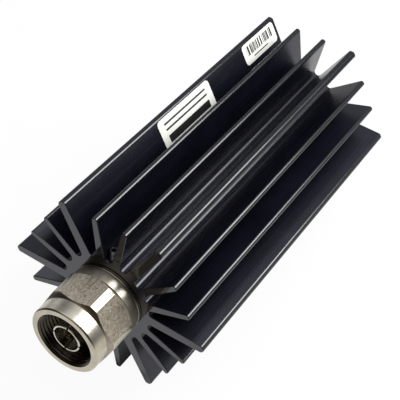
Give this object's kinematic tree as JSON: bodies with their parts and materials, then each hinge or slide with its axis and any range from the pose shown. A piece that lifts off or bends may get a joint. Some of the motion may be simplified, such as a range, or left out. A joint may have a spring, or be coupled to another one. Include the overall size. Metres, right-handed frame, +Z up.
{
  "type": "rf dummy load",
  "caption": "Coaxial dummy load: a plug connector with a coupling nut on the end of a finned cylindrical heat sink with a load resistor inside.",
  "frame": {"origin": "middle of the whole part's box in X and Y, on the surface that the heat sink's lowest fin tips rest on", "axes": "+X along the axis from the plug's mouth towards the rear end, +Z up, away from the side that the part rests on"},
  "size_m": [0.1186, 0.0572, 0.0496],
  "materials": {
    "black_anodised_aluminium": "matte black anodised extrusion",
    "black_oxide_steel": "black oxide",
    "nickel_plated_brass": "satin nickel plate, turned",
    "bright_nickel": "bright nickel plate",
    "gold_plated_brass": "gold plate",
    "turned_brass": "as turned",
    "spring_steel": "bright rolled",
    "white_fluoropolymer": "machined, waxy",
    "silicone_rubber": "moulded, matte",
    "resistor_film": "dark lacquered film on ceramic",
    "white_polyester": "satin printed film"
  },
  "bodies": {
    "load_body": {"heat_sink": "black_anodised_aluminium", "set_screw": "black_oxide_steel", "mounting_washer": "nickel_plated_brass", "connector_body": "nickel_plated_brass", "retaining_ring": "spring_steel", "nut_gasket": "silicone_rubber", "outer_contact": "bright_nickel", "center_pin": "gold_plated_brass", "front_insulator": "white_fluoropolymer", "rear_insulator": "white_fluoropolymer", "contact_collet": "gold_plated_brass", "front_terminal": "turned_brass", "resistor_rod": "resistor_film", "rear_terminal": "turned_brass", "load_sleeve": "turned_brass", "disc_spring": "spring_steel", "end_plug": "black_anodised_aluminium", "product_label": "white_polyester", "serial_label": "white_polyester"},
    "nut": {"coupling_nut": "nickel_plated_brass"}
  },
  "joints": [
    {"name": "nut_spin", "type": "hinge", "parent": "load_body", "child": "nut", "pos_m": [-0.05, 0, 0.0248], "axis": [1, 0, 0], "continuous": true}
  ]
}
